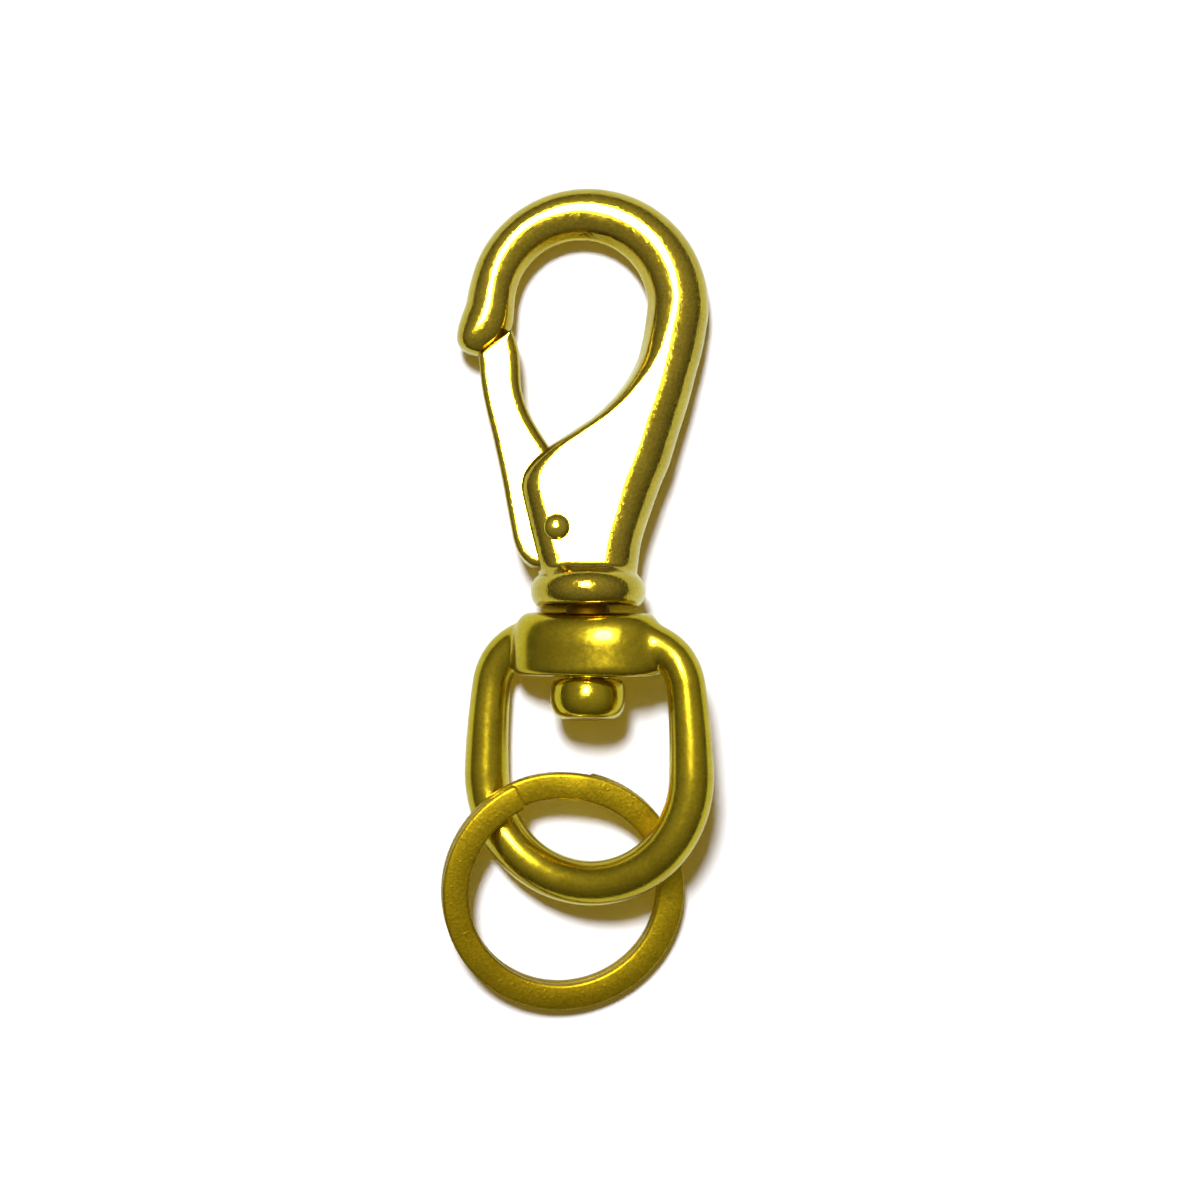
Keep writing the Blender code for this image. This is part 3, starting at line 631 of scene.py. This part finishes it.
# Painted shade: the ring's flat face is tinted darker towards its lower left
painted_shade(
    SATIN,
    direction=(0.55, 0.83, 0.0),
    low=-0.050,
    high=-0.026,
    colour=(0.74, 0.71, 0.62),
    roughness=0.46,
)
TURNED = brass(
    "turned brass",
    bright=(0.72, 0.54, 0.025),
    dull=(0.62, 0.46, 0.020),
    roughness=(0.09, 0.20),
    grain=2500.0,
    speckle=0.14,
    relief_height=0.018 * MM,
    coarse=0.1,
    speck=0.3,
    coat=0.0,
)
# Painted shade: the stud's shank, in the gap between collar and boss and inside the bore, is
# tinted dark brown with a rougher polish, fading out before the head
painted_shade(
    TURNED,
    direction=(0.0, -1.0, 0.0),
    low=0.004,
    high=0.008,
    colour=(0.30, 0.20, 0.10),
    roughness=0.6,
)
SPRUNG = brass(
    "spring brass",
    bright=(0.66, 0.49, 0.06),
    dull=(0.54, 0.39, 0.04),
    roughness=(0.2, 0.3),
    grain=4000.0,
    speckle=0.1,
    relief_height=0.01 * MM,
    coarse=0.3,
    speck=0.2,
    coat=0.0,
)


# Hook body
def hook_matrix():
    return Matrix.Translation(HOOK_ORIGIN) @ Matrix.Rotation(
        math.radians(-HOOK_LEAN_DEG), 4, "X"
    )


def hook_sections():
    rows = []
    for ix, iy, ox, oy, inner, outer, depth in BODY_SECTION_SHARES:
        rows.append(
            (
                ix * BOW_OUTER_RADIUS,
                iy * BOW_RISE,
                ox * BOW_OUTER_RADIUS,
                oy * BOW_RISE,
                inner,
                outer,
                depth * BODY_HALF,
                clamped((oy - FLANK_START) / FLANK_BLEND),
            )
        )
    start, middle, end = BOW_DEPTH_SHARES
    start_crest, middle_crest, end_crest = BOW_CREST_SHARES
    for i in range(BOW_SECTIONS + 1):
        turn = i / BOW_SECTIONS
        angle = math.radians(BOW_END_DEG * turn)
        crest = start_crest + (middle_crest - start_crest) * min(2 * turn, 1)
        crest += (end_crest - middle_crest) * max(4 * turn - 3, 0)
        if turn < 0.5:
            depth = start + (middle - start) * 2 * turn
        else:
            depth = middle + (end - middle) * (2 * turn - 1)
        rows.append(
            (
                BOW_INNER_RADIUS * math.cos(angle) - BOW_INNER_SHIFT,
                BOW_INNER_RADIUS * math.sin(angle) + BOW_RISE + BOW_INNER_LIFT,
                BOW_OUTER_RADIUS * math.cos(angle),
                BOW_OUTER_RADIUS * math.sin(angle) + BOW_RISE,
                crest - BOW_CREST_GAP / 2,
                1 - crest - BOW_CREST_GAP / 2,
                depth * BODY_HALF,
                BOW_FLANK,
            )
        )
    for ix, iy, ox, oy, inner, outer, depth in NOSE_SECTION_SHARES:
        rows.append(
            (
                ix * BOW_OUTER_RADIUS,
                iy * BOW_OUTER_RADIUS + BOW_RISE,
                ox * BOW_OUTER_RADIUS,
                oy * BOW_OUTER_RADIUS + BOW_RISE,
                inner,
                outer,
                depth * BODY_HALF,
                NOSE_FLANK,
            )
        )
    return smoothed(rows, STATION_STEPS)


def section_ring(ix, iy, ox, oy, inner, outer, half, flank):
    """One closed section of the casting, its inner rounding partly drawn to a flat flank."""
    start = Vector((ix, iy, 0))
    across = Vector((ox, oy, 0)) - start
    quarter = [math.pi / 2 * k / QUARTER_STEPS for k in range(QUARTER_STEPS + 1)]
    over = []
    low, high = (math.radians(angle) for angle in FLANK_DEG)
    for a in quarter:
        u, z = 1 - math.cos(a), math.sin(a)
        if low < a < high:
            along = (z - math.sin(low)) / (math.sin(high) - math.sin(low))
            straight = 1 - math.cos(low) + along * (math.cos(low) - math.cos(high))
            u += flank * (straight - u)
        over.append((inner * u, half * z))
    over += [(1 - outer * (1 - math.cos(a)), half * math.sin(a)) for a in quarter[::-1]]
    under = [(u, -z) for u, z in over[-2:0:-1]]
    return [start + across * u + Vector((0, 0, z)) for u, z in over + under]


def collar_profile():
    shoulder = arc_points(
        (COLLAR_NECK_RADIUS, -COLLAR_WIDEST_DROP),
        (COLLAR_RADIUS - COLLAR_NECK_RADIUS, COLLAR_TOP + COLLAR_WIDEST_DROP),
        90,
        0,
        QUARTER_STEPS,
    )
    foot = arc_points(
        (COLLAR_FOOT_RADIUS, -COLLAR_WIDEST_DROP),
        (COLLAR_RADIUS - COLLAR_FOOT_RADIUS, COLLAR_BOTTOM_DROP - COLLAR_WIDEST_DROP),
        0,
        -90,
        QUARTER_STEPS,
    )
    return shoulder + foot[1:]


def seat_frame():
    turn = Matrix.Rotation(math.radians(NOSE_SEAT_DEG), 4, "Z")
    return Matrix.Translation((-NOSE_SEAT_LEFT, NOSE_SEAT_RISE, 0)) @ turn


def slot_outline():
    reach = BOW_OUTER_RADIUS
    corner = arc_points(
        (SLOT_BACK - SLOT_CORNER_RADIUS, SLOT_FLOOR + SLOT_CORNER_RADIUS),
        (SLOT_CORNER_RADIUS, SLOT_CORNER_RADIUS),
        -90,
        0,
        QUARTER_STEPS,
    )
    return [(-reach, SLOT_FLOOR)] + corner + [(SLOT_BACK, SLOT_TOP), (-reach, SLOT_TOP)]


def hook_piece():
    bm = bmesh.new()
    skin(bm, [section_ring(*row) for row in hook_sections()])
    body = as_object("hook_casting", bm)
    collar = combine(body, as_object("collar", turned(collar_profile(), ROUND_STEPS)), "UNION")
    slot = combine(body, as_object("slot", prism(slot_outline(), SLOT_HALF)), "DIFFERENCE")
    half = NOSE_SEAT_LENGTH / 2
    flat = [(-half, 0), (half, 0), (half, -NOSE_SEAT_DEPTH), (-half, -NOSE_SEAT_DEPTH)]
    seat = as_object("seat", prism(flat, BODY_THICKNESS))
    combine(body, seat, "DIFFERENCE", seat_frame())
    chamfers = []
    for side in (1, -1):
        chamfer = as_object("chamfer", prism(flat, BODY_THICKNESS))
        rise = Matrix.Translation((0, 0, side * SEAT_CHAMFER_START))
        tilt = Matrix.Rotation(math.radians(-side * SEAT_CHAMFER_DEG), 4, "X")
        chamfers.append(combine(body, chamfer, "DIFFERENCE", seat_frame() @ rise @ tilt))
    cast(body, VOXEL, HOOK_SOFT_ROUNDS)
    settled(body, (collar, slot, seat, *chamfers), hook_matrix())
    blended(body.data, COLLAR_FILLETS)
    pit(body.data, *HOOK_PITS)
    dress(body, CAST, "hook", "hook_body")


def rivet_piece():
    face = BODY_HALF + TOUCH_GAP
    dome = arc_points(
        (0, face),
        (RIVET_HEAD_RADIUS, RIVET_HEAD_HEIGHT),
        RIVET_DOME_START_DEG,
        0,
        RIVET_DOME_STEPS,
    )
    rim = (RIVET_HEAD_RADIUS - RIVET_RIM_IN, face - RIVET_RIM_FALL)
    upper = dome + [rim, (RIVET_SHANK_RADIUS, face)]
    lower = [(radius, -y) for radius, y in upper[::-1]]
    rivet = as_object("rivet_dome", turned(upper + lower, RIVET_STEPS))
    upright = Matrix.Translation(RIVET_CENTRE) @ Matrix.Rotation(math.pi / 2, 4, "X")
    settled(rivet, (), hook_matrix() @ upright)
    smooth_faced(rivet.data, SHARP_EDGE_DEG)
    dress(rivet, BRIGHT, "hook", "gate_rivet")


def drawn_in(outline, amounts):
    """A counter-clockwise outline with each corner moved in by its own amount."""
    found = []
    for i, amount in enumerate(amounts):
        here = Vector(outline[i])
        coming = (here - Vector(outline[i - 1])).normalized()
        going = (Vector(outline[(i + 1) % len(outline)]) - here).normalized()
        outward = Vector((coming.y + going.y, -coming.x - going.x))
        found.append(here - outward * amount / (1 + coming.dot(going)))
    return found


def gate_outline():
    shares = smoothed(GATE_OUTLINE_SHARES, STATION_STEPS)
    points = [(x * GATE_LENGTH, y * GATE_LENGTH) for x, y in shares]
    to_seat = seat_frame().inverted()
    for share in GATE_TIP_SHARES:
        x = share * GATE_LENGTH
        at_seat = to_seat @ (RIVET_CENTRE + Vector((x, 0, 0)))
        rise = (-GATE_TIP_CLEARANCE - at_seat.y) / math.cos(math.radians(NOSE_SEAT_DEG))
        points.append((x, rise))
    return points


def gate_edges(points):
    """How far in and how far down each corner's edge is rounded: more along the inner side."""
    tips = len(GATE_TIP_SHARES)
    bevels, drops = [], []
    for x, y in points:
        share = 0
        if x > GATE_INNER_LEFT * GATE_LENGTH:
            share = clamped((y / GATE_LENGTH - GATE_INNER_START) / GATE_INNER_BLEND)
        bevels.append(GATE_EDGE_BEVEL + share * (GATE_INNER_EDGE - GATE_EDGE_BEVEL))
        drops.append(GATE_EDGE_DROP + share * (GATE_INNER_EDGE - GATE_EDGE_DROP))
    bevels[-tips:] = [GATE_TIP_BEVEL] * tips
    drops[-tips:] = [GATE_TIP_BEVEL] * tips
    return bevels, drops


def pocket_outline():
    around = arc_points((0, 0), (POCKET_RADIUS, POCKET_RADIUS), -90, -180, QUARTER_STEPS)
    lean = math.tan(math.radians(POCKET_LEAN_DEG))
    outline = [(GATE_LENGTH, -POCKET_RADIUS)] + around
    outline.append((-POCKET_RADIUS - lean * POCKET_REACH, POCKET_REACH))
    return outline + [(GATE_LENGTH, POCKET_REACH)]


def gate_piece():
    points = gate_outline()
    bevels, drops = gate_edges(points)
    upper = []
    for k in range(GATE_BEVEL_STEPS + 1):
        angle = math.pi / 2 * k / GATE_BEVEL_STEPS
        fallen = 1 - math.sin(angle)
        ring = drawn_in(points, [bevel * (1 - math.cos(angle)) for bevel in bevels])
        upper.append([(x, y, GATE_HALF - drop * fallen) for (x, y), drop in zip(ring, drops)])
    lower = [[(x, y, -z) for x, y, z in ring] for ring in upper[::-1]]
    bm = bmesh.new()
    skin(bm, lower + upper)
    gate = as_object("gate_casting", bm)
    pocket = as_object("pocket", prism(pocket_outline(), POCKET_HALF))
    combine(gate, pocket, "DIFFERENCE")
    cast(gate, GATE_VOXEL, GATE_SOFT_ROUNDS)
    settled(gate, (pocket,), hook_matrix() @ Matrix.Translation(RIVET_CENTRE))
    pit(gate.data, *GATE_PITS)
    dress(gate, CAST, "gate", "gate")


def stud_piece():
    cock = math.radians(COCK_DEG)
    lift = COLLAR_FOOT_RADIUS * math.tan(cock) + TOUCH_GAP
    head_top = -(COLLAR_BOTTOM_DROP + lift + BOSS_HEIGHT)
    head_top -= STUD_HEAD_RADIUS * math.tan(cock) + TOUCH_GAP
    head_foot = head_top - STUD_HEAD_HEIGHT
    profile = [(STUD_RADIUS, 0.0), (STUD_RADIUS, head_top)]
    widest = head_top - STUD_HEAD_WIDEST_DROP
    profile += arc_points(
        (STUD_HEAD_RADIUS - STUD_HEAD_TOP_ROUND, widest),
        (STUD_HEAD_TOP_ROUND, STUD_HEAD_WIDEST_DROP),
        90,
        0,
        QUARTER_STEPS,
    )
    lower = arc_points(
        (STUD_HEAD_RADIUS - STUD_HEAD_FOOT_ROUND, widest),
        (STUD_HEAD_FOOT_ROUND, widest - head_foot),
        0,
        -90,
        QUARTER_STEPS,
    )
    profile += lower[1:]
    stud = as_object("stud_turned", turned(profile, ROUND_STEPS))
    settled(stud, (), hook_matrix())
    smooth_faced(stud.data, STUD_SHARP_EDGE_DEG)
    dress(stud, TURNED, "hook", "swivel_stud")


# Eye
def eye_matrix():
    droop = Matrix.Rotation(math.radians(EYE_DROOP_DEG), 4, "X")
    roll = Matrix.Rotation(math.radians(-EYE_ROLL_DEG), 4, "Y")
    return Matrix.Translation(EYE_ORIGIN) @ droop @ roll


def eye_route():
    """The middle of the eye's wire, from its foot round the right side to the bar."""
    x, y, heading = 0.0, 0.0, 0.0
    route = [(x, y, heading)]
    for radius, turn, count in EYE_ARCS:
        step = math.radians(turn) / count
        for _ in range(count):
            x += radius * (math.sin(heading + step) - math.sin(heading))
            y += radius * (math.cos(heading) - math.cos(heading + step))
            heading += step
            route.append((x, y, heading))
    top = route[-1][1]
    return [(x, y - top + BAR_ABOVE_MIDDLE, heading) for x, y, heading in route]


def eye_piece():
    right = eye_route()
    left = [(-x, y, -heading) for x, y, heading in right[:0:-1]]
    rings = []
    for x, y, heading in left + right:
        past = abs(heading) - math.pi / 2
        drawn = clamped(past / math.radians(EYE_SIDE_TURN_DEG))
        radius = EYE_WIRE_RADIUS + (EYE_SHOULDER_WIRE_RADIUS - EYE_WIRE_RADIUS) * drawn
        out = Vector((math.sin(heading), -math.cos(heading), 0))
        ring = []
        for i in range(WIRE_STEPS):
            angle = math.tau * i / WIRE_STEPS
            radial = out * math.cos(angle) + Vector((0, 0, math.sin(angle)))
            ring.append(Vector((x, y, 0)) + radial * radius)
        rings.append(ring)
    bm = bmesh.new()
    skin(bm, rings)
    eye = as_object("eye_casting", bm)
    boss = combine(eye, as_object("boss", boss_form()), "UNION")
    bore = turned([(BORE_RADIUS, BOSS_HEIGHT), (BORE_RADIUS, -BOSS_HEIGHT)], ROUND_STEPS)
    hole = combine(eye, as_object("bore", bore), "DIFFERENCE")
    cast(eye, VOXEL, EYE_SOFT_ROUNDS)
    settled(eye, (boss, hole), Matrix.Identity(4))
    blended(eye.data, ARM_FILLETS)
    eye.data.transform(eye_matrix())
    pit(eye.data, *EYE_PITS)
    dress(eye, SOFT_CAST, "eye", "swivel_eye")


def oval_share(value, power):
    return math.copysign(abs(value) ** power, value)


def boss_form():
    """The eye's oval boss, a little less full on its raised right side."""
    top = arc_points((0, 0), (BOSS_TOP_ROUND, BOSS_TOP_ROUND_RISE), 90, 0, QUARTER_STEPS)
    foot = arc_points((0, 0), (BOSS_FOOT_ROUND, BOSS_FOOT_ROUND), 0, -90, QUARTER_STEPS)
    half = BOSS_HEIGHT / 2
    rows = [(BOSS_TOP_ROUND - x, half - BOSS_TOP_ROUND_RISE + y) for x, y in top]
    rows += [(BOSS_FOOT_ROUND - x, BOSS_FOOT_ROUND - half + y) for x, y in foot]
    rings = []
    for inset, y in rows:
        ring = []
        for i in range(ROUND_STEPS):
            angle = math.tau * i / ROUND_STEPS
            power = BOSS_RAISED_POWER if angle < math.pi / 2 else BOSS_OVAL_POWER
            ring.append(
                (
                    oval_share(math.sin(angle), power) * (BOSS_HALF_WIDTH - inset),
                    y,
                    oval_share(math.cos(angle), power) * (BOSS_HALF_DEPTH - inset),
                )
            )
        rings.append(ring)
    bm = bmesh.new()
    skin(bm, rings)
    return bm


# Split ring
def ring_matrix():
    facing = Matrix.Rotation(math.radians(RING_LEAN_FACING_DEG), 4, "Z")
    lean = Matrix.Rotation(math.radians(-RING_LEAN_DEG), 4, "Y")
    return Matrix.Translation(RING_ORIGIN) @ facing @ lean @ facing.inverted()


def ring_piece():
    """Two turns of flat wire with the step from one to the other and rounded ends."""
    wide, high = RING_BAND / 2, RING_WIRE_THICKNESS / 2
    corner = [(wide - inward, high - fall) for inward, fall in RING_CORNER]
    upper = corner + [(-x, y) for x, y in corner[::-1]]
    section = upper + [(x, -y) for x, y in upper[::-1]]
    step_down = RING_RAMP_DEG + 360
    landed = RING_END_DEG + 360
    last = RING_RAMP_DEG + 720
    middle = RING_RADIUS - RING_BAND / 2
    count = math.ceil((last - RING_END_DEG) / RING_STEP_DEG)
    turns = [RING_END_DEG + (last - RING_END_DEG) * i / count for i in range(count + 1)]
    turns += [RING_END_DEG + step for step in RING_END_STEPS_DEG]
    turns += [last - step for step in RING_END_STEPS_DEG]
    ramp = landed - step_down - 2 * RING_RAMP_MARGIN_DEG
    rings = []
    for turn in sorted(turns):
        fallen = clamped((turn - step_down - RING_RAMP_MARGIN_DEG) / ramp)
        eased = fallen * fallen * (3 - 2 * fallen)
        level = RING_PITCH * (0.5 - eased)
        angle = math.radians(turn)
        out = Vector((math.cos(angle), math.sin(angle), 0))
        from_end = math.radians(min(turn - RING_END_DEG, last - turn)) * middle
        short = max(RING_END_ROUND - from_end, 0) / RING_END_ROUND
        trim = 1 - RING_END_TRIM * (1 - math.sqrt(1 - short * short))
        rings.append(
            [
                out * (middle + across * trim) + Vector((0, 0, level + rise * trim))
                for across, rise in section
            ]
        )
    bm = bmesh.new()
    skin(bm, rings)
    ring = as_object("split_ring_band", bm)
    settled(ring, (), ring_matrix())
    smooth_faced(ring.data, SHARP_EDGE_DEG)
    dress(ring, SATIN, "ring", "split_ring")


hook_piece()
rivet_piece()
gate_piece()
stud_piece()
eye_piece()
ring_piece()
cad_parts["gate_spring"].data.materials.clear()
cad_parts["gate_spring"].data.materials.append(SPRUNG)


# Table, light and camera
def table_top():
    bm = bmesh.new()
    bmesh.ops.create_grid(bm, x_segments=1, y_segments=1, size=TABLE_HALF)
    floor = as_object("table_top", bm)
    floor.location.z = -TABLE_GAP
    material = bpy.data.materials.new("white table")
    tree, shader = nodes_of(material)
    light = tree.nodes.new("ShaderNodeLightPath")
    mirrored = light.outputs["Is Glossy Ray"]
    tint = tree.nodes.new("ShaderNodeMix")
    tint.data_type = "RGBA"
    tint.inputs["A"].default_value = TABLE_COLOUR
    tint.inputs["B"].default_value = TABLE_MIRRORED_COLOUR
    tree.links.new(mirrored, tint.inputs["Factor"])
    tree.links.new(tint.outputs["Result"], shader.inputs["Base Color"])
    shader.inputs["Roughness"].default_value = TABLE_ROUGHNESS
    shader.inputs["Specular IOR Level"].default_value = TABLE_SHINE
    seen = reckoned(tree, "MAXIMUM", light.outputs["Is Camera Ray"], mirrored)
    glow = reckoned(tree, "MULTIPLY", seen, TABLE_GLOW)
    shader.inputs["Emission Color"].default_value = TABLE_GLOW_COLOUR
    tree.links.new(glow, shader.inputs["Emission Strength"])
    floor.data.materials.append(material)


def softbox():
    """The broad white panel that the polished faces mirror, up and to the left."""
    data = bpy.data.lights.new("softbox", "AREA")
    data.shape = "RECTANGLE"
    data.size, data.size_y = SOFTBOX_SIZE
    data.energy = SOFTBOX_LEVEL * math.pi * data.size * data.size_y
    made = bpy.data.objects.new("softbox", data)
    made.location = SOFTBOX_PLACE
    made.visible_diffuse = False
    bpy.context.scene.collection.objects.link(made)


def key_light():
    """The small lamp that lights the table and throws the shadow."""
    data = bpy.data.lights.new("key", "SUN")
    data.energy = KEY_LEVEL
    data.angle = math.radians(KEY_WIDTH_DEG)
    made = bpy.data.objects.new("key", data)
    made.rotation_euler = Vector(KEY_DIRECTION).to_track_quat("-Z", "Y").to_euler()
    made.visible_glossy = False
    bpy.context.scene.collection.objects.link(made)


def surroundings():
    """A dim room for the metal to mirror: palest overhead, darkest low at the picture's foot."""
    world = bpy.data.worlds.new("studio")
    bpy.context.scene.world = world
    world.use_nodes = True
    tree = world.node_tree
    back = tree.nodes["Background"]
    place = tree.nodes.new("ShaderNodeTexCoord")
    split = tree.nodes.new("ShaderNodeSeparateXYZ")
    tree.links.new(place.outputs["Generated"], split.inputs[0])

    def levelled(value, span, levels):
        return ranged(tree, value, span, levels, "SMOOTHSTEP")

    overhead = levelled(split.outputs["Z"], ROOM_HEIGHT_SPAN, ROOM_HEIGHT_LEVELS)
    fall = levelled(split.outputs["Y"], ROOM_FALL_SPAN, ROOM_FALL_LEVELS)
    light = tree.nodes.new("ShaderNodeLightPath")
    dimmed = levelled(light.outputs["Is Diffuse Ray"], (0.0, 1.0), (1.0, ROOM_DIFFUSE_SHARE))
    room = reckoned(tree, "MULTIPLY", overhead, fall)
    room = reckoned(tree, "MULTIPLY", room, dimmed)
    room = reckoned(tree, "MAXIMUM", room, light.outputs["Is Camera Ray"])
    tree.links.new(room, back.inputs["Strength"])
    back.inputs["Color"].default_value = ROOM_COLOUR


def camera_above():
    data = bpy.data.cameras.new("camera")
    data.lens = CAMERA_LENS
    data.sensor_width = CAMERA_SENSOR_WIDTH
    made = bpy.data.objects.new("camera", data)
    made.location = CAMERA_PLACE
    bpy.context.scene.collection.objects.link(made)
    bpy.context.scene.camera = made


table_top()
surroundings()
softbox()
key_light()
camera_above()
bpy.context.scene.view_settings.view_transform = "Standard"
